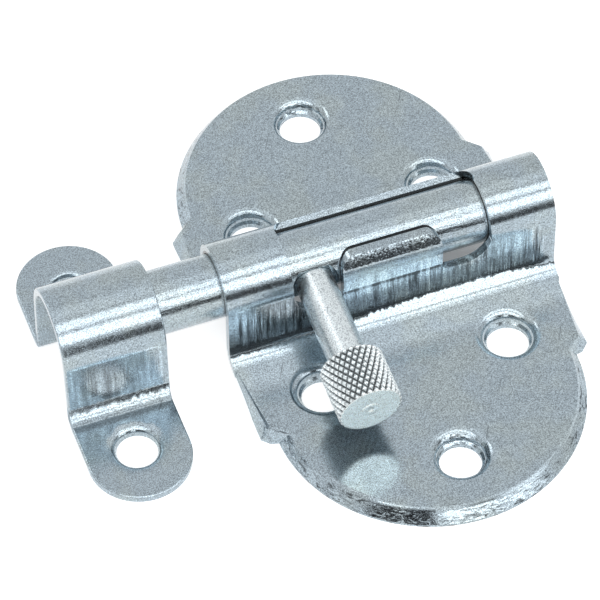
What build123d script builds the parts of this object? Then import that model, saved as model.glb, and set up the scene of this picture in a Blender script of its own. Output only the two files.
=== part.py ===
from build123d import *
from math import cos, radians, sin, tan
import os

# A surface latch in zinc-plated steel: a round bolt slides and turns in a barrel that is
# pressed up out of a two-lobed plate, and runs into a strap keeper beside it.
# X runs along the bolt, towards the open position. Y runs from the handle to the back.
# Z is the height over the mounting surface. The origin is the middle of the plate's holes.

# Bar and sheet
bolt_dia = 10.0
sheet = 1.3
barrel_clearance = 0.1
keeper_clearance = 0.3
keeper_side_clearance = 1.4
axis_height = 13.5

# Plate, seen from above
plate_half_width = 26.4
plate_top = 2.8
lobe_radius = 24.05
lobe_offset = 21.25
ear_end = 21.4
ear_corner = 1.2
rim_land = 0.4
rim_run = 1.45
flange_full = 19.0
panel_bevel = 0.5
panel_bevel_inset = 0.4
panel_bevel_shoulder = 0.1

# Screw holes
hole_dia = 6.5
hole_spacing_x = 30.0
hole_spacing_y = 32.4
tip_hole_spacing = 69.6
hole_lip = 0.4
dimple_round = 1.6
hole_boss_radius = 4.35
hole_margin = 0.001

# Barrel and the window in it
foot_round = 2.4
window_length = 31.8
window_back_angle = 54.0
window_back_corner = 3.5
window_back_margin = 0.3
tab_length = 16.0
tab_top_angle = 50.0
tab_corner = 2.2
notch_corner = 3.0
notch_tab_corner = 1.0
open_notch_corner = 4.4
notch_clearance = 0.1
crease_rise = 1.5
crease_depth = 0.45
crease_fade = 4.0

# Keeper
keeper_gap = 10.1
keeper_width = 16.0
keeper_flare = 3.0
keeper_foot_round = 1.25
keeper_foot_reach = 25.15
keeper_hole_spacing = 32.0
keeper_hole_dia = 6.2
keeper_dimple_round = 1.0

# Bolt
bolt_keeper_entry = 7.9
bolt_end_setback = 2.4
bolt_end_chamfer = 0.6
seat_dia = 7.6
seat_depth = 1.0

# Handle
shank_dia = 6.0
head_dia = 10.0
head_start = 20.0
handle_reach = 28.5
head_chamfer = 0.25
handle_drop = 4.5
spigot_dia = 4.0
spigot_length = 4.0
spigot_clearance = 0.05
pip_dia = 1.4
pip_height = 0.2

# Radii, heights and places that follow from the values above
bolt_radius = bolt_dia / 2
barrel_inner = bolt_radius + barrel_clearance
barrel_outer = barrel_inner + sheet
keeper_inner = bolt_radius + keeper_side_clearance
keeper_outer = keeper_inner + sheet
arch_z = axis_height + bolt_radius + keeper_clearance - keeper_inner
plate_under = plate_top - sheet
foot_edge = barrel_outer + foot_round
shank_radius = shank_dia / 2
notch_length = (window_length - tab_length) / 2
notch_offset = (tab_length + notch_length) / 2
handle_x = -notch_offset
drop = radians(handle_drop)
shank_floor = axis_height - barrel_outer * tan(drop) - shank_radius / cos(drop)
notch_floor = shank_floor - notch_clearance
keeper_x = -plate_half_width - keeper_gap - keeper_width / 2
above = axis_height + 2 * barrel_outer
hole_places = [
    (sx * hole_spacing_x / 2, sy * hole_spacing_y / 2) for sx in (-1, 1) for sy in (-1, 1)
] + [(0, -tip_hole_spacing / 2), (0, tip_hole_spacing / 2)]


def plate_outline(height, inset=0.0):
    """Draw the plate's closed outline at a height over the surface, moved in by inset."""
    lean = rim_run * max(height - rim_land, 0) / (plate_top - rim_land)
    half_width = plate_half_width - inset
    radius = lobe_radius - lean - inset
    ear_x = half_width - lean
    ear_y = ear_end - ear_corner - inset
    tuck = radians(1.0 + 2.0 * height / plate_top)
    Line((half_width, 0), (half_width, barrel_outer))
    Line((half_width, barrel_outer), (ear_x, ear_y))
    Line((ear_x, ear_y), (ear_x - ear_corner, ear_y + ear_corner))
    lobe_start = (radius * cos(tuck), lobe_offset + radius * sin(tuck))
    Line((ear_x - ear_corner, ear_y + ear_corner), lobe_start)
    RadiusArc(lobe_start, (0, lobe_offset + radius), -radius)
    mirror(about=Plane.YZ)
    mirror(about=Plane.XZ)


def hole_tool(radius, lip, edge_round, face_z):
    """Make the solid that cuts a screw hole whose upper edge is pressed in round."""
    throat = radius + lip
    round_z = face_z - edge_round
    with BuildPart() as tool:
        with BuildSketch(Plane.XZ):
            with BuildLine():
                Line((0, face_z + sheet), (0, -sheet))
                Line((0, -sheet), (radius, -sheet))
                Line((radius, -sheet), (radius, round_z - lip))
                if lip:
                    Line((radius, round_z - lip), (throat, round_z))
                RadiusArc((throat, round_z), (throat + edge_round, face_z), edge_round)
                Line((throat + edge_round, face_z), (throat + edge_round, face_z + sheet))
                Line((throat + edge_round, face_z + sheet), (0, face_z + sheet))
            make_face()
        revolve(axis=Axis.Z)
    return tool.part


# Plate: a flat panel with its rim folded down to the mounting surface
rim_wall = sheet * 1.1

rim_levels = [
    (0, 0),
    (rim_land, 0),
    (plate_top - panel_bevel, 0),
    (plate_top - panel_bevel_shoulder, panel_bevel_shoulder),
    (plate_top, panel_bevel_inset),
]

with BuildPart() as plate_pan:
    for height, inset in rim_levels:
        with BuildSketch(Plane.XY.offset(height)):
            with BuildLine():
                plate_outline(height, inset)
            make_face()
    loft(ruled=True)

with BuildPart() as pan_hollow:
    with BuildSketch(Plane.XY) as hollow_foot:
        with BuildLine():
            plate_outline(0, rim_wall)
        make_face()
    with BuildSketch(Plane.XY.offset(plate_under)) as hollow_top:
        with BuildLine():
            plate_outline(plate_under, rim_wall)
        make_face()
    loft(ruled=True)

# Window: its ends are square to the bolt, its back edge is square to the sheet
back = radians(window_back_angle)
window_back = barrel_outer * sin(back) + window_back_margin
tab_top = axis_height + barrel_outer * cos(radians(tab_top_angle))

with BuildPart() as tab_keep:
    with BuildSketch(Plane.XZ) as tab_front:
        with Locations((0, (tab_top + notch_floor - notch_corner) / 2)):
            Rectangle(tab_length, tab_top - notch_floor + notch_corner)
        fillet(tab_front.vertices().group_by(Axis.Y)[-1], tab_corner)
    extrude(amount=above)

with BuildPart() as window_cut:
    with BuildSketch(Plane.XY.offset(axis_height)) as window_plan:
        with Locations((0, (window_back - above) / 2)):
            Rectangle(window_length, window_back + above)
        fillet(window_plan.vertices().group_by(Axis.Y)[-1], window_back_corner)
    extrude(amount=above - axis_height)
    with BuildSketch(Plane.YZ) as window_section:
        with BuildLine():
            Polyline(
                (0, axis_height),
                (above * sin(back), axis_height + above * cos(back)),
                (0, axis_height + above),
                (-above, axis_height + above),
                (-above, axis_height),
                close=True,
            )
        make_face()
    extrude(amount=window_length, both=True, mode=Mode.INTERSECT)
    for side, outer_corner in ((-1, notch_corner), (1, open_notch_corner)):
        with BuildSketch(Plane.XZ) as notch_front:
            with Locations((side * notch_offset, (notch_floor + above) / 2)):
                Rectangle(notch_length, above - notch_floor)
            lower = notch_front.vertices().group_by(Axis.Y)[0].sort_by(Axis.X)
            fillet(lower[-1] if side > 0 else lower[0], outer_corner)
            lower = notch_front.vertices().group_by(Axis.Y)[0].sort_by(Axis.X)
            fillet(lower[0] if side > 0 else lower[-1], notch_tab_corner)
        extrude(amount=above)
    add(tab_keep.part, mode=Mode.SUBTRACT)

# Body: the plate and its barrel, one sheet, then the window, the crease and the holes
crease_z = notch_floor + crease_rise

with BuildPart() as body_plate:
    add(plate_pan.part)
    with BuildSketch(Plane.YZ) as barrel_section:
        with BuildLine():
            Line((0, plate_under), (-foot_edge, plate_under))
            Line((-foot_edge, plate_under), (-foot_edge, plate_top))
            RadiusArc((-foot_edge, plate_top), (-barrel_outer, plate_top + foot_round), -foot_round)
            Line((-barrel_outer, plate_top + foot_round), (-barrel_outer, axis_height))
            RadiusArc((-barrel_outer, axis_height), (0, axis_height + barrel_outer), barrel_outer)
            mirror(about=Plane.YZ)
        make_face()
    extrude(amount=plate_half_width, both=True)
    add(pan_hollow.part, mode=Mode.SUBTRACT)
    with BuildSketch(Plane.YZ) as bore_section:
        with BuildLine():
            Line((0, -sheet), (-foot_edge, -sheet))
            Line((-foot_edge, -sheet), (-foot_edge, plate_under))
            RadiusArc(
                (-foot_edge, plate_under), (-barrel_inner, plate_top + foot_round), -foot_round - sheet
            )
            Line((-barrel_inner, plate_top + foot_round), (-barrel_inner, axis_height))
            RadiusArc((-barrel_inner, axis_height), (0, axis_height + barrel_inner), barrel_inner)
            mirror(about=Plane.YZ)
        make_face()
    extrude(amount=2 * plate_half_width, both=True, mode=Mode.SUBTRACT)
    with BuildSketch(Plane.YZ) as flange_fade:
        with BuildLine():
            Polyline(
                (-foot_edge, -sheet),
                (-foot_edge, plate_under),
                (-flange_full, 0),
                (-flange_full, -sheet),
                close=True,
            )
        make_face()
        mirror(about=Plane.YZ)
    extrude(amount=2 * plate_half_width, both=True, mode=Mode.SUBTRACT)
    add(window_cut.part, mode=Mode.SUBTRACT)
    with BuildSketch(Plane.YZ) as crease_section:
        with BuildLine():
            Polyline(
                (-barrel_outer, crease_z - crease_fade),
                (crease_depth - barrel_outer, crease_z),
                (-barrel_outer, crease_z),
                close=True,
            )
        make_face()
    extrude(amount=tab_length / 2, both=True, mode=Mode.SUBTRACT)
    with Locations(*hole_places):
        Cone(
            hole_boss_radius,
            hole_boss_radius + plate_top,
            plate_top,
            align=(Align.CENTER, Align.CENTER, Align.MIN),
        )
    with Locations(*hole_places):
        add(hole_tool(hole_dia / 2, hole_lip, dimple_round, plate_top), mode=Mode.SUBTRACT)

# Keeper: a strap bent over the bolt, with a rounded foot on each side
flare = radians(keeper_flare)
keeper_shoulder = (-keeper_outer * cos(flare), arch_z + keeper_outer * sin(flare))
keeper_bend = (keeper_shoulder[0] - (keeper_shoulder[1] - sheet) * tan(flare), sheet)

with BuildPart() as keeper:
    with BuildSketch(Plane.YZ.offset(keeper_x)) as strap_section:
        with BuildLine() as strap_line:
            Line((-keeper_foot_reach, sheet), keeper_bend)
            Line(keeper_bend, keeper_shoulder)
            fillet(strap_line.vertices().sort_by_distance(keeper_bend)[0], keeper_foot_round)
            RadiusArc(keeper_shoulder, (0, arch_z + keeper_outer), keeper_outer)
            mirror(about=Plane.YZ)
            offset(amount=sheet, side=Side.RIGHT)
        make_face()
    extrude(amount=keeper_width / 2, both=True)
    with BuildSketch(Plane.XY) as strap_plan:
        with Locations((keeper_x, 0)):
            SlotOverall(2 * keeper_foot_reach, keeper_width, rotation=90)
    extrude(amount=above, mode=Mode.INTERSECT)
    with Locations(*[(keeper_x, sy * keeper_hole_spacing / 2) for sy in (-1, 1)]):
        add(hole_tool(keeper_hole_dia / 2, 0, keeper_dimple_round, sheet), mode=Mode.SUBTRACT)

# Bolt: a plain round bar with a flat seat and a blind hole for the handle
handle_axis = Plane(
    origin=(handle_x, 0, axis_height), x_dir=(1, 0, 0), z_dir=(0, -cos(drop), -sin(drop))
)
bolt_left = keeper_x + keeper_width / 2 - bolt_keeper_entry
bolt_right = plate_half_width - bolt_end_setback
seat_floor = bolt_radius - seat_depth

with BuildPart() as bolt_rod:
    with BuildSketch(Plane.YZ.offset(bolt_left)):
        with Locations((0, axis_height)):
            Circle(bolt_radius)
    extrude(amount=bolt_right - bolt_left)
    chamfer(bolt_rod.edges().filter_by(GeomType.CIRCLE), bolt_end_chamfer)
    with BuildSketch(handle_axis.offset(seat_floor)):
        Circle(seat_dia / 2)
    extrude(amount=bolt_radius, mode=Mode.SUBTRACT)
    with BuildSketch(handle_axis.offset(seat_floor)):
        Circle(spigot_dia / 2 + spigot_clearance)
    extrude(amount=-spigot_length - spigot_clearance, mode=Mode.SUBTRACT)

# Handle: turned in one piece, with a spigot, a plain shank and a round head
with BuildPart() as handle:
    with BuildSketch(handle_axis.offset(seat_floor)):
        Circle(spigot_dia / 2)
    extrude(amount=-spigot_length)
    with BuildSketch(handle_axis.offset(seat_floor)):
        Circle(shank_dia / 2)
    extrude(amount=head_start - seat_floor)
    with BuildSketch(handle_axis.offset(head_start)):
        Circle(head_dia / 2)
    extrude(amount=handle_reach - head_start)
    head_rims = handle.edges().filter_by(GeomType.CIRCLE)
    head_rims = head_rims.filter_by(lambda rim: abs(rim.radius - head_dia / 2) < hole_margin)
    chamfer(head_rims, head_chamfer)
    with BuildSketch(handle_axis.offset(handle_reach)):
        Circle(pip_dia / 2)
    extrude(amount=pip_height)

body_plate.part.label = "body_plate"
keeper.part.label = "keeper"
bolt_rod.part.label = "bolt_rod"
handle.part.label = "handle"
os.makedirs("parts", exist_ok=True)
export_step(body_plate.part, "parts/body_plate.step")
export_step(keeper.part, "parts/keeper.step")
export_step(bolt_rod.part, "parts/bolt_rod.step")
export_step(handle.part, "parts/handle.step")
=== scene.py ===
"""Dresses the zinc-plated surface latch: plate, keeper, bolt and knurled handle, on a pale studio floor."""

import math

import bmesh
import bpy
from mathutils import Matrix, Vector


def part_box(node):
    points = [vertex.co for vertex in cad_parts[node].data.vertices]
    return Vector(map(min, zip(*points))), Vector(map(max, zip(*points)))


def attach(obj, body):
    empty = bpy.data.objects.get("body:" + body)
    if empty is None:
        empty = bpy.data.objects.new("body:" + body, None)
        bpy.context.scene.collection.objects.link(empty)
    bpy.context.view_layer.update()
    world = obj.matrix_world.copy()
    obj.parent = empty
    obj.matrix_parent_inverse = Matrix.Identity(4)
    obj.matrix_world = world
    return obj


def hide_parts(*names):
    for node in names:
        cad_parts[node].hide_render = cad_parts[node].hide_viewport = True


bl_info = {
    "name": "Surface Bolt Latch",
    "version": (1, 0, 0),
    "blender": (4, 5, 0),
    "location": "3D View > Sidebar > Latch",
    "description": "Finishes for a zinc-plated surface bolt latch, with its knurled handle and a studio",
    "category": "Object",
}

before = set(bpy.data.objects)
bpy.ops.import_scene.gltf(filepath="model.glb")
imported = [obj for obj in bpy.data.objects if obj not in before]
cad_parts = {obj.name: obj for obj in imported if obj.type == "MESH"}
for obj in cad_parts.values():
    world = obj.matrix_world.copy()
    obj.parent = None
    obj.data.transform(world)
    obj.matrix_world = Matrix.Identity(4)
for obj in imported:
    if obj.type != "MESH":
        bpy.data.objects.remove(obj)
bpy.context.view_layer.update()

# Sizes that the looks share with the solids, in metres
ROD_LOW, ROD_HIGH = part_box("bolt_rod")
HANDLE_LOW, HANDLE_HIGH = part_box("handle")
BOLT_RADIUS = (ROD_HIGH.y - ROD_LOW.y) / 2
BOLT_AXIS_Z = (ROD_HIGH.z + ROD_LOW.z) / 2
HANDLE_X = (HANDLE_HIGH.x + HANDLE_LOW.x) / 2
HEAD_RADIUS = (HANDLE_HIGH.x - HANDLE_LOW.x) / 2
SHEET = 0.0013
PLATE_TOP = 0.0028
FOOT_TOP = 0.0052
FOOT_SIDE = 0.0088
WALL_SIDE = 0.0064
ARCH_FOOT = 0.0105
CREASE_HEIGHT = 0.0106
TAB_REACH = 0.0080
TAB_TOP = 0.0176
KEEPER_HOLE = (0.0445, 0.016, SHEET)

# Colours that go with the settings: the palest that painted light may make the plating, and the bare line of
# a scratch
PALEST_ZINC = (0.77, 0.84, 0.85)
SCRATCH_COLOUR = (0.16, 0.19, 0.21, 1)

# Points from one knurl to the next, their flat share, and the radius of the groove in the end face
KNURL_STEPS = 6
KNURL_FLAT = 0.34
FACE_GROOVE = 0.00145

# Material slots of the handle
SHANK_SLOT, KNURL_SLOT, FACE_SLOT = range(3)

# Kinds of socket on the node groups
FLOAT = "NodeSocketFloat"
VECTOR = "NodeSocketVector"
COLOUR = "NodeSocketColor"


# Settings that a user may change


def colour_setting(name, description, default):
    """Return a setting for a colour."""
    return bpy.props.FloatVectorProperty(
        name=name, description=description, default=default, subtype="COLOR", size=3, min=0, max=1
    )


def length_setting(name, description, default, **limits):
    """Return a setting for a length in metres."""
    return bpy.props.FloatProperty(
        name=name, description=description, default=default, subtype="DISTANCE", unit="LENGTH", **limits
    )


def share_setting(name, description, default):
    """Return a setting from 0 to 1."""
    return bpy.props.FloatProperty(
        name=name, description=description, default=default, subtype="FACTOR", min=0, max=1
    )


def angle_setting(name, description, degrees):
    """Return a setting for an angle, whose default is given in degrees."""
    return bpy.props.FloatProperty(
        name=name,
        description=description,
        default=math.radians(degrees),
        subtype="ANGLE",
        unit="ROTATION",
    )


class LatchFinishSettings(bpy.types.PropertyGroup):
    """Colour and surface of the zinc plating."""

    zinc_colour: colour_setting("Zinc Colour", "Blue-grey of the bare plating", (0.335, 0.400, 0.445))
    warm_colour: colour_setting(
        "Warm Patch Colour", "Faint yellow-green of the passivated patches", (0.350, 0.408, 0.430)
    )
    sheet_roughness: share_setting("Sheet Roughness", "Roughness of the pressed sheet", 0.13)
    bar_roughness: share_setting("Bar Roughness", "Roughness of the drawn bar", 0.12)
    grain_size: length_setting(
        "Grain Size", "Width of the grains in the plating", 0.00019, min=0.00005, max=0.002
    )
    streak_width: length_setting(
        "Streak Width", "Width of the drawing streaks on the bent walls", 0.0007, min=0.0002, max=0.005
    )
    speckle: bpy.props.FloatProperty(
        name="Speckle", description="Contrast between light and dark grains", default=2.7, min=0, max=4
    )
    edge_width: length_setting(
        "Edge Rounding", "Rounding of the sheet's cut edges", 0.00028, min=0.00002, max=0.0005
    )


class LatchHandleSettings(bpy.types.PropertyGroup):
    """Sizes of the turned handle."""

    shank_radius: length_setting("Shank Radius", "Radius of the plain shank", 0.003)
    head_start: length_setting("Head Start", "Distance of the knurled head from the bolt's axis", 0.020)
    reach: length_setting("Reach", "Distance of the head's end face from the bolt's axis", 0.0285)
    seat_height: length_setting("Seat Height", "Distance of the shank's foot from the bolt's axis", 0.004)
    drop: angle_setting("Drop", "Angle of the handle under the horizontal, at rest", 4.5)
    knurls: bpy.props.IntProperty(
        name="Knurls", description="Diamonds around the head", default=29, min=12, max=60
    )
    knurl_rows: bpy.props.IntProperty(
        name="Knurl Rows", description="Diamonds along the head", default=5, min=3, max=20
    )
    knurl_depth: length_setting("Knurl Depth", "Depth of the grooves between the diamonds", 0.00042)
    chamfer: length_setting("Chamfer", "Chamfer at both ends of the head", 0.00025)


class LatchStageSettings(bpy.types.PropertyGroup):
    """Camera, floor and lights."""

    azimuth: angle_setting("Camera Azimuth", "Turn of the camera about the vertical, from the front", -19.67)
    elevation: angle_setting("Camera Elevation", "Height of the camera over the horizon", 51.63)
    roll: angle_setting("Camera Roll", "Turn of the picture about the line of sight", -0.57)
    distance: length_setting(
        "Camera Distance", "Distance from the camera to the point that it looks at", 0.66487
    )
    aim: bpy.props.FloatVectorProperty(
        name="Camera Aim",
        description="Point in the middle of the picture",
        subtype="TRANSLATION",
        unit="LENGTH",
        size=3,
        default=(-0.01152, 0.00339, -0.00054),
    )
    lens: bpy.props.FloatProperty(
        name="Lens", description="Focal length on a full-frame sensor, in millimetres", default=259.3
    )
    floor_colour: colour_setting("Floor Colour", "Colour of the studio floor", (0.9, 0.9, 0.9))


# Node groups


class Wiring:
    """Adds nodes to a node tree and joins their sockets."""

    def __init__(self, tree):
        """Keep the tree's nodes and links."""
        self.nodes = tree.nodes
        self.links = tree.links

    def feed(self, value, socket):
        """Give a socket its value, a number, a tuple or another socket, or leave it alone for None."""
        if isinstance(value, (int, float, tuple)):
            socket.default_value = value
        elif value is not None:
            self.links.new(value, socket)

    def math(self, operation, *values):
        """Add a Math node and return its output."""
        node = self.nodes.new("ShaderNodeMath")
        node.operation = operation
        for value, socket in zip(values, node.inputs):
            self.feed(value, socket)
        return node.outputs[0]

    def product(self, first, *others):
        """Multiply values together."""
        for other in others:
            first = self.math("MULTIPLY", first, other)
        return first

    def vector(self, operation, first, second=None, scale=None):
        """Add a Vector Math node and return its output."""
        node = self.nodes.new("ShaderNodeVectorMath")
        node.operation = operation
        self.feed(first, node.inputs[0])
        self.feed(second, node.inputs[1])
        if scale is not None:
            self.feed(scale, node.inputs["Scale"])
        return node.outputs["Value" if operation == "LENGTH" else "Vector"]

    def split(self, vector):
        """Return the X, Y and Z of a vector."""
        node = self.nodes.new("ShaderNodeSeparateXYZ")
        self.feed(vector, node.inputs[0])
        return node.outputs["X"], node.outputs["Y"], node.outputs["Z"]

    def combine(self, across=None, depth=None, height=None):
        """Return the vector with this X, Y and Z, each 0 where it isn't given."""
        node = self.nodes.new("ShaderNodeCombineXYZ")
        for value, socket in zip((across, depth, height), node.inputs):
            self.feed(value, socket)
        return node.outputs["Vector"]

    def ramp(self, value, start, end, low=0.0, high=1.0, kind="LINEAR"):
        """Return a value that goes evenly from low at start to high at end."""
        node = self.nodes.new("ShaderNodeMapRange")
        node.interpolation_type = kind
        settings = {"Value": value, "From Min": start, "From Max": end, "To Min": low, "To Max": high}
        for label, setting in settings.items():
            self.feed(setting, node.inputs[label])
        return node.outputs["Result"]

    def step(self, value, start, end, low=0.0, high=1.0):
        """Return a value that goes smoothly from low at start to high at end."""
        return self.ramp(value, start, end, low, high, kind="SMOOTHSTEP")

    def noise(self, vector, scale, detail=2.0, rough=0.5, distortion=0.0):
        """Add a Noise Texture and return its value."""
        node = self.nodes.new("ShaderNodeTexNoise")
        settings = {"Vector": vector, "Scale": scale, "Detail": detail, "Roughness": rough}
        settings["Distortion"] = distortion
        for label, setting in settings.items():
            self.feed(setting, node.inputs[label])
        return node.outputs["Fac"]

    def place(self):
        """Return the place on the object as a vector."""
        return self.nodes.new("ShaderNodeTexCoord").outputs["Object"]

    def mix(self, mask, first, second):
        """Mix two colours by a mask."""
        node = self.nodes.new("ShaderNodeMix")
        node.data_type = "RGBA"
        self.feed(mask, node.inputs["Factor"])
        self.feed(first, node.inputs["A"])
        self.feed(second, node.inputs["B"])
        return node.outputs["Result"]

    def bump(self, height, distance, normal):
        """Add a Bump node over a normal, if there is one, and return its normal."""
        node = self.nodes.new("ShaderNodeBump")
        self.feed(height, node.inputs["Height"])
        self.feed(distance, node.inputs["Distance"])
        self.feed(normal, node.inputs["Normal"])
        return node.outputs["Normal"]

    def leant_normal(self, lean):
        """Return the surface normal leant by a vector."""
        surface = self.nodes.new("ShaderNodeNewGeometry")
        leant = self.vector("ADD", surface.outputs["Normal"], lean)
        return self.vector("NORMALIZE", leant)


def new_group(name, inputs, outputs):
    """Make an empty node group, and return it with its wiring and its sockets in and out."""
    group = bpy.data.node_groups.new(name, "ShaderNodeTree")
    for label, kind, value in inputs:
        socket = group.interface.new_socket(label, in_out="INPUT", socket_type=kind)
        socket.default_value = value
    for label, kind in outputs:
        group.interface.new_socket(label, in_out="OUTPUT", socket_type=kind)
    given = group.nodes.new("NodeGroupInput").outputs
    made = group.nodes.new("NodeGroupOutput").inputs
    return group, Wiring(group), given, made


def grain_group():
    """Fine grain of the plating: grains, coarser pebbles and slow clouds."""
    group, wires, given, made = new_group(
        "Plating Grain",
        [("Grains per Metre", FLOAT, 4000.0)],
        [("Speckle", FLOAT), ("Pebble", FLOAT), ("Cloud", FLOAT)],
    )
    place = wires.place()
    for label, share, rough in (("Speckle", 1.0, 0.6), ("Pebble", 0.3, 0.55), ("Cloud", 0.028, 0.5)):
        scale = wires.product(given["Grains per Metre"], share)
        wires.feed(wires.noise(place, scale, rough=rough), made[label])
    return group


def tint_group():
    """Colour of the plating: blue-grey with faint warm clouds, and light and dark grains."""
    group, wires, given, made = new_group(
        "Plating Tint",
        [
            ("Zinc", COLOUR, (0.335, 0.400, 0.445, 1)),
            ("Warm", COLOUR, (0.350, 0.408, 0.430, 1)),
            ("Speckle", FLOAT, 0.5),
            ("Pebble", FLOAT, 0.5),
            ("Cloud", FLOAT, 0.5),
            ("Contrast", FLOAT, 1.0),
        ],
        [("Colour", COLOUR)],
    )
    patch = wires.step(given["Cloud"], 0.42, 0.66)
    plating = wires.mix(patch, given["Zinc"], given["Warm"])
    middle = 0.5
    pebble_share = 0.12
    darkest = 0.15
    fine = wires.math("SUBTRACT", given["Speckle"], middle)
    coarse = wires.product(wires.math("SUBTRACT", given["Pebble"], middle), pebble_share)
    both = wires.math("ADD", fine, coarse)
    gain = wires.math("MULTIPLY_ADD", both, given["Contrast"], 1.0)
    gain = wires.math("MAXIMUM", gain, darkest)
    wires.feed(wires.vector("SCALE", plating, scale=gain), made["Colour"])
    return group


def streak_group():
    """Upright streaks that the press drew into the front and back walls, with light and dark in their colour
    that is partly painted reflection.
    """
    group, wires, given, made = new_group(
        "Drawn Streaks",
        [
            ("Streaks per Metre", FLOAT, 770.0),
            ("Foot", FLOAT, 0.0051),
            ("Top", FLOAT, 0.0142),
            ("Left", FLOAT, -0.0255),
            ("Right", FLOAT, 0.0248),
            ("Near Side", FLOAT, 0.0057),
            ("Far Side", FLOAT, FOOT_SIDE),
            ("Contrast", FLOAT, 1.0),
            ("Foot Shade", FLOAT, 1.1),
        ],
        [("Height", FLOAT), ("Shade", FLOAT)],
    )
    place = wires.place()
    across, depth, height = wires.split(place)
    upright = wires.vector("MULTIPLY", place, (1.0, 0.05, 0.07))
    rate = given["Streaks per Metre"]
    broad = wires.noise(upright, rate, rough=0.6, distortion=0.3)
    fine = wires.noise(upright, wires.product(rate, 2.6), rough=0.7, distortion=0.2)
    fade = 0.0008
    foot_fade = 0.0006
    side = wires.math("ABSOLUTE", depth)
    near = wires.math("GREATER_THAN", side, given["Near Side"])
    mask = wires.product(
        near,
        wires.math("LESS_THAN", side, given["Far Side"]),
        wires.step(across, given["Left"], wires.math("ADD", given["Left"], fade)),
        wires.step(across, wires.math("SUBTRACT", given["Right"], fade), given["Right"], 1.0, 0.0),
        wires.step(height, wires.math("SUBTRACT", given["Top"], fade), given["Top"], 1.0, 0.0),
        wires.step(height, given["Foot"], wires.math("ADD", given["Foot"], foot_fade)),
    )
    softer = wires.step(height, 0.0095, given["Top"], 1.0, 0.35)
    strength = wires.product(mask, softer)
    both = wires.math("MULTIPLY_ADD", fine, 0.5, broad)
    off_middle = wires.math("SUBTRACT", both, 0.75)
    wires.feed(wires.product(off_middle, strength), made["Height"])
    shade = streak_shade(wires, given, across, height, mask, near)
    # The streaks' swing in colour, up to more than twice the plating, is painted reflection on the real
    # drawn marks
    swing = 4.2
    darkest = 0.2
    lightest = 2.4
    lit = wires.product(off_middle, given["Contrast"], strength, swing)
    shade = wires.math("ADD", shade, lit)
    shade = wires.math("MAXIMUM", shade, darkest)
    wires.feed(wires.math("MINIMUM", shade, lightest), made["Shade"])
    return group


def streak_shade(wires, given, across, height, mask, near):
    """Return the painted light and shade under the streaks: a painted level that changes with the wall's
    height and is lighter to the right, a lighter frame, a painted highlight on the tab and a painted shadow
    along the crease.
    """
    # Painted shade and light that change with the wall's height, and painted light to the right under the
    # tab
    level = wires.step(height, 0.0055, 0.0095, given["Foot Shade"], 0.85)
    lighter_right = wires.step(across, -0.012, 0.0, 1.0, 1.3)
    off_plain = wires.math("SUBTRACT", wires.product(level, lighter_right), 1.0)
    frame_light = 1.8
    frame_edge = wires.product(
        mask,
        wires.math("SUBTRACT", 1.0, mask),
        near,
        wires.math("GREATER_THAN", height, 0.0062),
        wires.step(across, -0.0125, -0.0085, 1.0, 0.0),
        frame_light,
    )
    # A painted highlight on the tab, and a painted shadow along the crease under it
    painted_tab_highlight = 0.5
    painted_crease_shadow = -0.7
    reach = wires.math("ABSOLUTE", across)
    on_tab = wires.product(wires.step(reach, TAB_REACH - 0.0004, TAB_REACH, 1.0, 0.0), mask)
    above_crease = wires.product(on_tab, wires.step(height, CREASE_HEIGHT + 0.0002, CREASE_HEIGHT + 0.0006))
    from_crease = wires.math("ABSOLUTE", wires.math("SUBTRACT", height, CREASE_HEIGHT))
    crease = wires.product(on_tab, wires.step(from_crease, 0.0001, 0.0005, 1.0, 0.0))
    shade = wires.math("MULTIPLY_ADD", off_plain, mask, 1.0)
    shade = wires.math("ADD", shade, frame_edge)
    shade = wires.math("MULTIPLY_ADD", above_crease, painted_tab_highlight, shade)
    return wires.math("MULTIPLY_ADD", crease, painted_crease_shadow, shade)


def pressed_group():
    """Normal of the pressed plate: a foot bend higher in the middle, a flatter tab, a worked rim."""
    group, wires, _, made = new_group("Pressed Normal", [], [("Normal", VECTOR)])
    place = wires.place()
    _, depth, height = wires.split(place)
    side = wires.math("ABSOLUTE", depth)
    dish = wires.product(
        wires.step(side, FOOT_SIDE + 0.0002, FOOT_SIDE + 0.0072, 0.3, 0.0),
        wires.step(side, FOOT_SIDE - 0.0012, FOOT_SIDE - 0.0002),
        wires.math("LESS_THAN", height, PLATE_TOP + 0.0008),
        wires.math("SIGN", depth),
    )
    lift = wires.math("ADD", foot_lift(wires, place), tab_lift(wires, place))
    lean = wires.combine(depth=dish, height=lift)
    lean = wires.vector("ADD", lean, rim_lean(wires, place))
    lean = wires.vector("ADD", lean, cut_lean(wires, place))
    wires.feed(wires.leant_normal(lean), made["Normal"])
    return group


def foot_lift(wires, place):
    """Return the upward lean of the foot bend, whose ragged top edge is higher in the middle."""
    across, depth, height = wires.split(place)
    rise = wires.step(across, -0.022, 0.008)
    fall = wires.step(across, 0.016, 0.027, 1.0, 0.4)
    least_width = 0.25
    width = wires.math("MAXIMUM", wires.product(rise, fall), least_width)
    upright = wires.vector("MULTIPLY", place, (1.0, 0.2, 0.25))
    ragged = wires.noise(upright, 1500.0, rough=0.6)
    ragged = wires.math("MULTIPLY_ADD", ragged, 0.0018, -0.0009)
    top = wires.math("MULTIPLY_ADD", width, 0.0018, 0.0037)
    side = wires.math("ABSOLUTE", depth)
    return wires.product(
        wires.step(wires.math("ADD", height, ragged), wires.math("SUBTRACT", top, 0.0009), top, 1.0, 0.0),
        wires.step(height, PLATE_TOP + 0.0004, FOOT_TOP),
        wires.math("GREATER_THAN", side, WALL_SIDE - 0.0002),
        wires.math("LESS_THAN", side, FOOT_SIDE + 0.0004),
    )


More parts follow.
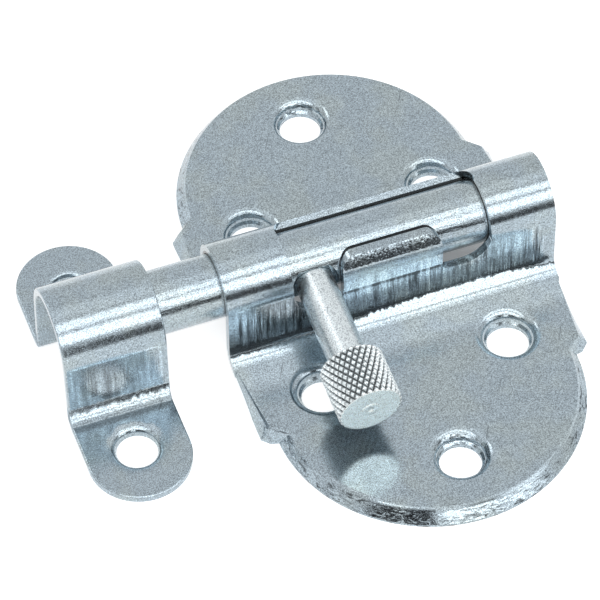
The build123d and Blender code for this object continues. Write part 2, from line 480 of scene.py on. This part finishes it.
def tab_lift(wires, place):
    """Return the uneven upward lean of the tab's rounded top."""
    across, depth, height = wires.split(place)
    flatter = wires.ramp(height, TAB_TOP, TAB_TOP - 0.0017, 0.0, 0.15)
    uneven = wires.math("MULTIPLY_ADD", wires.noise(place, 3000.0, rough=0.6), 0.5, -0.25)
    return wires.product(
        wires.math("ADD", flatter, uneven),
        wires.step(height, TAB_TOP - 0.0021, TAB_TOP - 0.0016),
        wires.step(wires.math("ABSOLUTE", across), TAB_REACH - 0.0006, TAB_REACH - 0.0001, 1.0, 0.0),
        wires.math("LESS_THAN", depth, -0.0045),
    )


def rim_lean(wires, place):
    """Return the lean of the folded rim: flow lines all round, and a flatter run at the front right."""
    across, depth, height = wires.split(place)
    flow = wires.vector("MULTIPLY", place, (0.3, 0.3, 1.0))
    lines = wires.noise(flow, 1700.0, detail=3.0, rough=0.65, distortion=1.5)
    lines = wires.math("MULTIPLY_ADD", lines, 0.9, -0.45)
    right = wires.step(across, -0.0085, -0.0055)
    front = wires.math("LESS_THAN", depth, 0.0)
    flatter = 0.27
    lift = wires.math("MULTIPLY_ADD", wires.product(right, front), flatter, lines)
    below_flat = wires.step(height, PLATE_TOP - 0.0006, PLATE_TOP - 0.0003, 1.0, 0.0)
    round_lobes = wires.step(wires.math("ABSOLUTE", depth), 0.018, 0.022)
    return wires.combine(height=wires.product(lift, below_flat, round_lobes))


def cut_lean(wires, place):
    """Return the outward lean of the window's far cut edge, which the punch rounded."""
    across, depth, height = wires.split(place)
    outward = wires.combine(depth=depth, height=wires.math("SUBTRACT", height, BOLT_AXIS_Z))
    lean = 0.8
    amount = wires.product(
        wires.math("LESS_THAN", wires.vector("LENGTH", outward), WALL_SIDE + 0.0002),
        wires.math("GREATER_THAN", height, ARCH_FOOT),
        wires.step(across, 0.0150, 0.0158),
        wires.step(depth, 0.0005, 0.0025, 1.0, 0.0),
        lean,
    )
    return wires.vector("SCALE", wires.vector("NORMALIZE", outward), scale=amount)


def keeper_group():
    """Normal of the keeper: wider, ragged bends at its feet, and a dimple about each screw hole."""
    group, wires, given, made = new_group("Keeper Normal", [("Top", FLOAT, 0.0046)], [("Normal", VECTOR)])
    place = wires.place()
    _, depth, height = wires.split(place)
    side = wires.math("ABSOLUTE", depth)
    upright = wires.vector("MULTIPLY", place, (1.0, 0.3, 0.3))
    ragged = wires.noise(upright, 1600.0, rough=0.65)
    uneven = wires.math("ADD", height, wires.math("MULTIPLY_ADD", ragged, 0.001, -0.0005))
    top_in = wires.math("SUBTRACT", given["Top"], 0.0005)
    bend = wires.math(
        "ADD",
        wires.step(uneven, top_in, given["Top"], 0.55, 0.0),
        wires.step(height, 0.0022, top_in, 0.4, 0.0),
    )
    lift = wires.product(
        bend,
        wires.math("MULTIPLY_ADD", ragged, 1.2, 0.4),
        wires.math("LESS_THAN", height, given["Top"]),
        wires.math("GREATER_THAN", height, SHEET + 0.0001),
        wires.math("GREATER_THAN", side, 0.0072),
    )
    lean = wires.vector("ADD", wires.combine(height=lift), hole_lean(wires, place, ragged))
    wires.feed(wires.leant_normal(lean), made["Normal"])
    return group


def hole_lean(wires, place, ragged):
    """Return the lean of the keeper's feet down towards their screw holes, mostly on the wall's side."""
    _, depth, height = wires.split(place)
    from_hole = wires.vector("SUBTRACT", wires.vector("ABSOLUTE", place), KEEPER_HOLE)
    flat = wires.vector("MULTIPLY", from_hole, (1.0, 1.0, 0.0))
    distance = wires.vector("LENGTH", flat)
    distance = wires.math("ADD", distance, wires.math("MULTIPLY_ADD", ragged, 0.0016, -0.0008))
    deepest = -0.6
    dip = wires.product(
        wires.step(distance, 0.0034, 0.0056, 1.0, 0.0),
        wires.math("LESS_THAN", height, SHEET + 0.0001),
        wires.step(wires.split(from_hole)[1], -0.0028, 0.0012, 1.0, 0.12),
        deepest,
    )
    along, outward, _ = wires.split(wires.vector("NORMALIZE", flat))
    towards = wires.combine(
        across=wires.product(along, -1.0),
        depth=wires.product(outward, wires.math("SIGN", depth)),
    )
    return wires.vector("SCALE", towards, scale=dip)


def knurl_group():
    """Painted shade in the grooves between the knurls, with a little painted light on their crests."""
    group, wires, given, made = new_group(
        "Knurl Depth",
        [
            ("Foot", VECTOR, (HANDLE_X, 0, BOLT_AXIS_Z)),
            ("Axis", VECTOR, (0, -1, 0)),
            ("Crest", FLOAT, HEAD_RADIUS),
            ("Valley", FLOAT, HEAD_RADIUS - 0.0004),
        ],
        [("Shade", FLOAT)],
    )
    offset = wires.vector("SUBTRACT", wires.place(), given["Foot"])
    along = wires.vector("PROJECT", offset, given["Axis"])
    radius = wires.vector("LENGTH", wires.vector("SUBTRACT", offset, along))
    wires.feed(wires.step(radius, given["Valley"], given["Crest"], 0.3, 1.1), made["Shade"])
    return group


def bore_group():
    """Painted shade just around the bolt: inside the barrel and in the gap along its edges."""
    group, wires, given, made = new_group(
        "Bore Depth",
        [("Axis Height", FLOAT, BOLT_AXIS_Z), ("Gap Radius", FLOAT, BOLT_RADIUS + 0.00048)],
        [("Shade", FLOAT)],
    )
    _, depth, height = wires.split(wires.place())
    up = wires.math("SUBTRACT", height, given["Axis Height"])
    squared = wires.math("MULTIPLY_ADD", depth, depth, wires.product(up, up))
    distance = wires.math("SQRT", squared)
    inner = wires.math("SUBTRACT", given["Gap Radius"], 0.00008)
    wires.feed(wires.step(distance, inner, given["Gap Radius"], 0.06, 1.0), made["Shade"])
    return group


def rim_group():
    """Mottled painted reflection on the folded rim: dark flow lines below the flat."""
    group, wires, given, made = new_group(
        "Rim Painted Reflection",
        [("Flat Height", FLOAT, PLATE_TOP), ("Darkest", FLOAT, 0.25)],
        [("Shade", FLOAT)],
    )
    place = wires.place()
    _, depth, height = wires.split(place)
    low = wires.math("SUBTRACT", given["Flat Height"], 0.0006)
    high = wires.math("SUBTRACT", given["Flat Height"], 0.0003)
    mask = wires.product(
        wires.step(height, low, high, 1.0, 0.0),
        wires.step(wires.math("ABSOLUTE", depth), 0.022, 0.024),
    )
    flow = wires.vector("MULTIPLY", place, (0.3, 0.3, 1.0))
    lines = wires.noise(flow, 1500.0, detail=3.0, rough=0.65, distortion=1.6)
    dark = wires.step(lines, 0.37, 0.47, given["Darkest"], 1.0)
    off_plain = wires.math("SUBTRACT", dark, 1.0)
    wires.feed(wires.math("MULTIPLY_ADD", off_plain, mask, 1.0), made["Shade"])
    return group


def draw_group():
    """Fine lines along a drawn bar."""
    group, wires, given, made = new_group(
        "Bar Lines", [("Lines per Metre", FLOAT, 3200.0)], [("Height", FLOAT)]
    )
    along = wires.vector("MULTIPLY", wires.place(), (0.07, 1.0, 1.0))
    lines = wires.noise(along, given["Lines per Metre"], detail=3.0, rough=0.6, distortion=0.3)
    wires.feed(lines, made["Height"])
    return group


def scratch_group():
    """Hairline scratches: thin broken lines at a slant, few and far between."""
    group, wires, given, made = new_group(
        "Hairline Scratches",
        [("Scratches per Metre", FLOAT, 210.0), ("Slant", FLOAT, 0.5)],
        [("Mask", FLOAT)],
    )
    place = wires.place()
    turn = wires.nodes.new("ShaderNodeVectorRotate")
    turn.rotation_type = "Z_AXIS"
    wires.feed(place, turn.inputs["Vector"])
    wires.feed(given["Slant"], turn.inputs["Angle"])
    stretched = wires.vector("MULTIPLY", turn.outputs["Vector"], (1.0, 0.035, 1.0))
    rate = wires.product(given["Scratches per Metre"], 12.0)
    lines = wires.noise(stretched, rate, detail=1.0, distortion=0.15)
    thin = wires.step(lines, 0.70, 0.76)
    breaks = wires.noise(place, given["Scratches per Metre"], detail=1.0)
    seldom = wires.step(breaks, 0.52, 0.6, 0.0, 0.7)
    wires.feed(wires.product(thin, seldom), made["Mask"])
    return group


# Materials


def new_material(name):
    """Make a material, and return it with its wiring and its shader."""
    material = bpy.data.materials.new(name)
    material.use_nodes = True
    return material, Wiring(material.node_tree), material.node_tree.nodes["Principled BSDF"]


def place_group(material, name, builder):
    """Put a node group in a material, built the first time, and return its node."""
    node = material.node_tree.nodes.new("ShaderNodeGroup")
    node.node_tree = bpy.data.node_groups.get(name) or builder()
    return node


def zinc_material(name, roughness, grain_height, colour=None, shaped=()):
    """Make a zinc-plated metal.

    Each of shaped is a group that marks this piece: its name, its builder, its values, and the
    height in metres of the bumps that it makes.
    """
    finish = bpy.context.scene.latch_finish
    material, wires, shader = new_material(name)
    shader.inputs["Metallic"].default_value = 0.93
    grain = place_group(material, "Plating Grain", grain_group)
    grain.inputs["Grains per Metre"].default_value = 1.0 / finish.grain_size
    tint = place_group(material, "Plating Tint", tint_group)
    tint.inputs["Zinc"].default_value = (*(colour or finish.zinc_colour), 1)
    tint.inputs["Warm"].default_value = (*(colour or finish.warm_colour), 1)
    tint.inputs["Contrast"].default_value = finish.speckle
    for label in ("Speckle", "Pebble", "Cloud"):
        wires.feed(grain.outputs[label], tint.inputs[label])
    scratch = place_group(material, "Hairline Scratches", scratch_group)
    plating = wires.mix(scratch.outputs["Mask"], tint.outputs["Colour"], SCRATCH_COLOUR)
    shades = []
    normal = None
    for label, builder, values, bump_height in shaped:
        marks = place_group(material, label, builder)
        for socket, value in values.items():
            marks.inputs[socket].default_value = value
        if "Shade" in marks.outputs:
            shades.append(marks.outputs["Shade"])
        if "Normal" in marks.outputs:
            normal = marks.outputs["Normal"]
        if "Height" in marks.outputs:
            normal = wires.bump(marks.outputs["Height"], bump_height, normal)
    for label in ("Pebble", "Speckle"):
        normal = wires.bump(grain.outputs[label], grain_height, normal)
    wires.feed(normal, shader.inputs["Normal"])
    # Painted light and shade from the groups scale the plating's colour, up to the palest plating
    for shade in shades:
        plating = wires.vector("SCALE", plating, scale=shade)
    wires.feed(wires.vector("MINIMUM", plating, PALEST_ZINC), shader.inputs["Base Color"])
    smoothest = roughness * 0.8
    roughest = roughness * 1.25
    rough = wires.step(grain.outputs["Pebble"], 0.2, 0.8, smoothest, roughest)
    wires.feed(rough, shader.inputs["Roughness"])
    return material


# Pieces


def set_material(piece, material):
    """Give a piece one material."""
    piece.data.materials.clear()
    piece.data.materials.append(material)


def round_edges(piece, width):
    """Join the solid's facets, round its sharp edges and shade it smooth."""
    weld = piece.modifiers.new("Weld", "WELD")
    weld.merge_threshold = 1e-6
    flat = piece.modifiers.new("Flat Faces", "DECIMATE")
    flat.decimate_type = "DISSOLVE"
    flat.angle_limit = math.radians(0.6)
    bevel = piece.modifiers.new("Edge Rounding", "BEVEL")
    bevel.width = width
    bevel.segments = 3
    bevel.limit_method = "ANGLE"
    bevel.angle_limit = math.radians(29)
    bevel.miter_outer = "MITER_ARC"
    weigh = piece.modifiers.new("Flat Normals", "WEIGHTED_NORMAL")
    weigh.mode = "FACE_AREA"
    weigh.weight = 60
    for face in piece.data.polygons:
        face.use_smooth = True


def ring(mesh, centre, across, up, radii, steps):
    """Add a ring of points about a centre, one radius per step or one for all."""
    points = []
    for index in range(steps):
        angle = 2 * math.pi * index / steps
        radius = radii[index % len(radii)]
        offset = across * (radius * math.cos(angle)) + up * (radius * math.sin(angle))
        points.append(mesh.verts.new(centre + offset))
    return points


def bridge(mesh, first, second, slot, smooth=True, folds=None):
    """Join two rings with faces; folds holds their radii, and splits each face along its groove."""
    count = len(first)
    for index in range(count):
        after = (index + 1) % count
        a, b, c, d = first[index], first[after], second[after], second[index]
        sides = [(a, b, c, d)]
        if folds is not None:
            lower, upper = folds
            sides = [(a, b, c), (a, c, d)]
            if lower[after] + upper[index] < lower[index] + upper[after]:
                sides = [(a, b, d), (b, c, d)]
        for corners in sides:
            face = mesh.faces.new(corners)
            face.smooth = smooth
            face.material_index = slot


def knurl_fall(around, along):
    """Return how far a point on the head lies in a groove, from 0 on a crest to 1."""
    nearest = min(min(turns % 1.0, 1.0 - turns % 1.0) for turns in (around + along, around - along))
    return 1.0 - min(nearest / KNURL_FLAT, 1.0)


def handle_mesh(settings):
    """Build the handle: plain shank, knurled head with chamfers, and an end face with a pip."""
    out = Vector((0, -math.cos(settings.drop), -math.sin(settings.drop)))
    across = Vector((1, 0, 0))
    up = across.cross(out)
    foot = Vector((HANDLE_X, 0, BOLT_AXIS_Z))
    steps = settings.knurls * KNURL_STEPS
    mesh = bmesh.new()

    def turned(distance, *radii):
        """Add a ring at a distance along the handle."""
        return ring(mesh, foot + out * distance, across, up, radii, steps)

    shank = settings.shank_radius
    face_radius = HEAD_RADIUS - settings.chamfer
    soft = settings.chamfer / 3
    shank_rings = [
        turned(settings.seat_height, shank - soft),
        turned(settings.seat_height + soft, shank),
        turned(settings.seat_height + 2 * soft, shank),
        turned(settings.head_start - 2 * soft, shank),
        turned(settings.head_start - soft, shank),
        turned(settings.head_start, shank + soft),
        turned(settings.head_start, face_radius),
    ]
    mesh.faces.new(reversed(shank_rings[0]))
    for first, second in zip(shank_rings, shank_rings[1:]):
        bridge(mesh, first, second, SHANK_SLOT)
    start = settings.head_start + settings.chamfer
    end = settings.reach - settings.chamfer
    rows = settings.knurl_rows * KNURL_STEPS
    before = shank_rings[-1]
    radii_before = [HEAD_RADIUS] * steps
    for row in range(rows + 1):
        distance = start + (end - start) * row / rows
        radii = [
            HEAD_RADIUS - settings.knurl_depth * knurl_fall(index / KNURL_STEPS, row / KNURL_STEPS)
            for index in range(steps)
        ]
        here = turned(distance, *radii)
        bridge(mesh, before, here, KNURL_SLOT, smooth=False, folds=(radii_before, radii))
        before = here
        radii_before = radii
    rim = turned(settings.reach, face_radius)
    bridge(mesh, before, rim, KNURL_SLOT, smooth=False)
    ripple = 0.000012
    turns = 14
    face_rings = [rim]
    for turn in range(1, turns):
        radius = face_radius + (FACE_GROOVE - face_radius) * turn / turns
        face_rings.append(turned(settings.reach - ripple * (turn % 2), radius))
    groove = 0.00008
    pip = 0.0003
    face_rings += [
        turned(settings.reach - groove, FACE_GROOVE),
        turned(settings.reach - groove / 2, FACE_GROOVE - groove),
        turned(settings.reach, FACE_GROOVE - 2 * groove),
        turned(settings.reach, pip + groove),
        turned(settings.reach - groove, pip),
    ]
    for first, second in zip(face_rings, face_rings[1:]):
        bridge(mesh, first, second, FACE_SLOT)
    mesh.faces.new(face_rings[-1]).material_index = FACE_SLOT
    data = bpy.data.meshes.new("knurled_handle")
    bmesh.ops.recalc_face_normals(mesh, faces=mesh.faces)
    mesh.to_mesh(data)
    mesh.free()
    return data


class LATCH_OT_plate(bpy.types.Operator):
    """Finish the pressed plate and its barrel"""

    bl_idname = "latch.plate"
    bl_label = "Plate and Barrel"

    def execute(self, context):
        finish = context.scene.latch_finish
        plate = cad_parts["body_plate"]
        streaks = {"Streaks per Metre": 1.0 / finish.streak_width}
        shaped = [
            ("Pressed Normal", pressed_group, {}, 0),
            ("Drawn Streaks", streak_group, streaks, 0.00007),
            ("Rim Painted Reflection", rim_group, {}, 0),
            ("Bore Depth", bore_group, {}, 0),
        ]
        material = zinc_material("Plate Zinc", finish.sheet_roughness, grain_height=0.000010, shaped=shaped)
        set_material(plate, material)
        round_edges(plate, finish.edge_width)
        return {"FINISHED"}


class LATCH_OT_keeper(bpy.types.Operator):
    """Finish the strap keeper"""

    bl_idname = "latch.keeper"
    bl_label = "Keeper"

    def execute(self, context):
        finish = context.scene.latch_finish
        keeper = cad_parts["keeper"]
        streaks = {
            "Streaks per Metre": 1.0 / finish.streak_width,
            "Foot": 0.0040,
            "Top": 0.0135,
            "Left": -0.0520,
            "Right": -0.0373,
            "Near Side": 0.0071,
            "Far Side": 0.0100,
            "Contrast": 0.4,
            "Foot Shade": 1.05,
        }
        shaped = [
            ("Keeper Normal", keeper_group, {}, 0),
            ("Drawn Streaks", streak_group, streaks, 0.00003),
        ]
        material = zinc_material("Keeper Zinc", finish.sheet_roughness, grain_height=0.000010, shaped=shaped)
        set_material(keeper, material)
        round_edges(keeper, finish.edge_width)
        return {"FINISHED"}


class LATCH_OT_bolt(bpy.types.Operator):
    """Finish the round bolt"""

    bl_idname = "latch.bolt"
    bl_label = "Bolt"

    def execute(self, context):
        finish = context.scene.latch_finish
        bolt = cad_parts["bolt_rod"]
        shaped = [("Bar Lines", draw_group, {}, 0.00003)]
        material = zinc_material("Bolt Zinc", finish.bar_roughness, grain_height=0.000008, shaped=shaped)
        set_material(bolt, material)
        round_edges(bolt, finish.edge_width)
        return {"FINISHED"}


class LATCH_OT_handle(bpy.types.Operator):
    """Build the knurled handle in place of its plain solid"""

    bl_idname = "latch.handle"
    bl_label = "Knurled Handle"

    def execute(self, context):
        settings = context.scene.latch_handle
        finish = context.scene.latch_finish
        handle = bpy.data.objects.new("knurled_handle", handle_mesh(settings))
        context.scene.collection.objects.link(handle)
        rough = 2.4 * finish.bar_roughness
        # Lighter copies of the zinc for the shank, the knurls and the end face: painted light, colour raised
        # to stand in for the light on the handle
        bright = (0.62, 0.68, 0.71)
        rolled = (0.72, 0.77, 0.79)
        pale = (0.76, 0.78, 0.74)
        values = {
            "Axis": (0, -math.cos(settings.drop), -math.sin(settings.drop)),
            "Valley": HEAD_RADIUS - settings.knurl_depth,
        }
        # Painted shade in the knurls' grooves, by their depth
        grooves = [("Knurl Depth", knurl_group, values, 0)]
        finishes = (
            zinc_material("Shank Zinc", rough, grain_height=0.000014, colour=bright),
            zinc_material("Knurl Zinc", 0.4, grain_height=0.000004, colour=rolled, shaped=grooves),
            zinc_material("End Face Zinc", rough, grain_height=0.000020, colour=pale),
        )
        for material in finishes:
            handle.data.materials.append(material)
        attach(handle, "bolt")
        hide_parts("handle")
        return {"FINISHED"}


# Stage


def background_mask(wires, camera=1.0, reflected=1.0):
    """Return a socket with one value for camera rays and one for glossy and transmission rays."""
    path = wires.nodes.new("ShaderNodeLightPath").outputs
    glossy = wires.math("MAXIMUM", path["Is Glossy Ray"], path["Is Transmission Ray"])
    return wires.math("MULTIPLY_ADD", path["Is Camera Ray"], camera, wires.product(glossy, reflected))


def make_world(lighting):
    """Make a white surround to look at, and a plainer one that lights the object."""
    world = bpy.data.worlds.new("Studio Surround")
    bpy.context.scene.world = world
    world.use_nodes = True
    world.node_tree.nodes.clear()
    wires = Wiring(world.node_tree)
    mix = wires.nodes.new("ShaderNodeMixShader")
    wires.feed(background_mask(wires), mix.inputs["Fac"])
    for socket, strength in ((mix.inputs[1], lighting), (mix.inputs[2], 1.0)):
        surround = wires.nodes.new("ShaderNodeBackground")
        surround.inputs["Color"].default_value = (1, 1, 1, 1)
        surround.inputs["Strength"].default_value = strength
        wires.feed(surround.outputs[0], socket)
    output = wires.nodes.new("ShaderNodeOutputWorld")
    wires.feed(mix.outputs[0], output.inputs["Surface"])


def softbox(name, direction, distance, width, height, radiance):
    """Hang a softbox facing the object, as bright as the radiance given."""
    light = bpy.data.lights.new(name, "AREA")
    light.shape = "RECTANGLE"
    light.size = width
    light.size_y = height
    light.energy = radiance * math.pi * width * height
    lamp = bpy.data.objects.new(name, light)
    bpy.context.scene.collection.objects.link(lamp)
    towards = Vector(direction).normalized()
    lamp.location = towards * distance
    lamp.rotation_mode = "QUATERNION"
    lamp.rotation_quaternion = towards.to_track_quat("Z", "Y")


def front_direction(degrees_up):
    """Return the direction that is so many degrees over the front horizon."""
    angle = math.radians(degrees_up)
    return (0, -math.cos(angle), math.sin(angle))


def flat_panel(name, corners, material):
    """Make a flat four-cornered stage panel."""
    data = bpy.data.meshes.new(name)
    data.from_pydata(corners, [], [(0, 1, 2, 3)])
    data.materials.append(material)
    panel = bpy.data.objects.new(name, data)
    bpy.context.scene.collection.objects.link(panel)
    return panel


def floor_material(colour):
    """Make a matte floor, lifted to white for the camera, with the lift cut down inside the barrel as a
    painted shade there.
    """
    material, wires, shader = new_material("Studio Floor")
    shader.inputs["Base Color"].default_value = (*colour, 1)
    shader.inputs["Roughness"].default_value = 0.9
    shader.inputs["Specular IOR Level"].default_value = 0.0
    across, depth, _ = wires.split(wires.place())
    # Under the barrel the glow drops to a quarter: a painted shade on the floor there
    inside_lift = 0.25
    barrel_middle = 0.0018
    side = wires.math("ABSOLUTE", depth)
    beside = wires.step(side, 0.0052, 0.0058)
    from_middle = wires.math("ABSOLUTE", wires.math("SUBTRACT", across, barrel_middle))
    past_end = wires.step(from_middle, 0.0235, 0.0245)
    open_floor = wires.math("MAXIMUM", wires.math("MAXIMUM", beside, past_end), inside_lift)
    lift = wires.product(background_mask(wires, camera=0.7, reflected=0.65), open_floor)
    glow = wires.nodes.new("ShaderNodeCombineColor")
    for channel in ("Red", "Green", "Blue"):
        wires.feed(lift, glow.inputs[channel])
    wires.feed(glow.outputs["Color"], shader.inputs["Emission Color"])
    shader.inputs["Emission Strength"].default_value = 1.0
    return material


def dark_card_material():
    """Make the matt black of a card that darkens part of the reflections."""
    material, _, shader = new_material("Dark Card")
    shader.inputs["Base Color"].default_value = (0.02, 0.02, 0.022, 1)
    shader.inputs["Roughness"].default_value = 1.0
    shader.inputs["Specular IOR Level"].default_value = 0.0
    return material


class LATCH_OT_stage(bpy.types.Operator):
    """Set up the floor, the lights, the cards and the camera"""

    bl_idname = "latch.stage"
    bl_label = "Studio"

    def execute(self, context):
        settings = context.scene.latch_stage
        context.scene.view_settings.view_transform = "Standard"
        make_world(lighting=0.3)
        self.place_floor(settings)
        self.hang_lights()
        self.stand_cards()
        self.place_camera(context, settings)
        return {"FINISHED"}

    def place_floor(self, settings):
        """Lay a wide floor just under the latch."""
        reach = 6.0
        sink = -0.00005
        sides = [(-reach, -reach), (reach, -reach), (reach, reach), (-reach, reach)]
        corners = [(across, depth, sink) for across, depth in sides]
        flat_panel("studio_floor", corners, floor_material(settings.floor_colour))

    def hang_lights(self):
        """Hang three long softboxes from the front to the top, and small ones behind and low in front."""
        long_box = {"distance": 1.3, "width": 2.6}
        softbox("Front Softbox", front_direction(39), **long_box, height=0.5, radiance=2.1)
        softbox("Upper Softbox", front_direction(67), **long_box, height=0.4, radiance=1.7)
        softbox("Top Softbox", front_direction(97), **long_box, height=0.55, radiance=0.3)
        behind = (-0.419, 0.585, 0.694)
        low_right = (0.62, -0.77, 0.19)
        low_middle = (-0.09, -0.98, 0.19)
        softbox("Back Softbox", behind, distance=1.3, width=0.3, height=0.6, radiance=1.8)
        softbox("Low Right Softbox", low_right, distance=1.35, width=0.85, height=0.3, radiance=1.2)
        softbox("Low Middle Softbox", low_middle, distance=1.1, width=0.32, height=0.3, radiance=1.3)

    def stand_cards(self):
        """Stand two dark cards low at the front, seen only as dark lines in the reflections."""
        near = -1.06
        top = 0.36
        for name, left, right in (("left_dark_card", -1.6, -0.27), ("right_dark_card", 0.07, 0.42)):
            corners = [(left, near, 0), (right, near, 0), (right, near, top), (left, near, top)]
            card = flat_panel(name, corners, dark_card_material())
            card.visible_camera = False
            card.visible_diffuse = False
            card.visible_shadow = False

    def place_camera(self, context, settings):
        """Put the camera where the photograph was taken from."""
        azimuth, elevation, roll = settings.azimuth, settings.elevation, settings.roll
        level = math.cos(elevation)
        back = Vector((math.sin(azimuth) * level, -math.cos(azimuth) * level, math.sin(elevation)))
        right = Vector((0, 0, 1)).cross(back).normalized()
        up = back.cross(right)
        rolled_right = right * math.cos(roll) + up * math.sin(roll)
        rolled_up = up * math.cos(roll) - right * math.sin(roll)
        data = bpy.data.cameras.new("Photo Camera")
        data.sensor_width = 36.0
        data.lens = settings.lens
        data.clip_start = 0.01
        data.clip_end = 50.0
        camera = bpy.data.objects.new("Photo Camera", data)
        context.scene.collection.objects.link(camera)
        axes = Matrix((rolled_right, rolled_up, back)).transposed()
        spot = Vector(settings.aim) + back * settings.distance
        camera.matrix_world = Matrix.Translation(spot) @ axes.to_4x4()
        context.scene.camera = camera


class LATCH_PT_sidebar(bpy.types.Panel):
    """Lists the latch's steps and settings"""

    bl_idname = "LATCH_PT_sidebar"
    bl_label = "Latch"
    bl_space_type = "VIEW_3D"
    bl_region_type = "UI"
    bl_category = "Latch"

    def draw(self, context):
        layout = self.layout
        for operator in OPERATORS:
            layout.operator(operator.bl_idname)
        for group in (context.scene.latch_finish, context.scene.latch_handle, context.scene.latch_stage):
            box = layout.box()
            for name in group.bl_rna.properties.keys():
                if name not in ("rna_type", "name"):
                    box.prop(group, name)


OPERATORS = (LATCH_OT_plate, LATCH_OT_keeper, LATCH_OT_bolt, LATCH_OT_handle, LATCH_OT_stage)
CLASSES = (LatchFinishSettings, LatchHandleSettings, LatchStageSettings, *OPERATORS, LATCH_PT_sidebar)


def register():
    """Register the classes and hang their settings on the scene."""
    for item in CLASSES:
        bpy.utils.register_class(item)
    bpy.types.Scene.latch_finish = bpy.props.PointerProperty(type=LatchFinishSettings)
    bpy.types.Scene.latch_handle = bpy.props.PointerProperty(type=LatchHandleSettings)
    bpy.types.Scene.latch_stage = bpy.props.PointerProperty(type=LatchStageSettings)


def unregister():
    """Take the settings and the classes away again."""
    del bpy.types.Scene.latch_stage
    del bpy.types.Scene.latch_handle
    del bpy.types.Scene.latch_finish
    for item in reversed(CLASSES):
        bpy.utils.unregister_class(item)


def main():
    """Run every step in order."""
    register()
    bpy.ops.latch.plate()
    bpy.ops.latch.keeper()
    bpy.ops.latch.bolt()
    bpy.ops.latch.handle()
    bpy.ops.latch.stage()


if __name__ == "__main__":
    main()
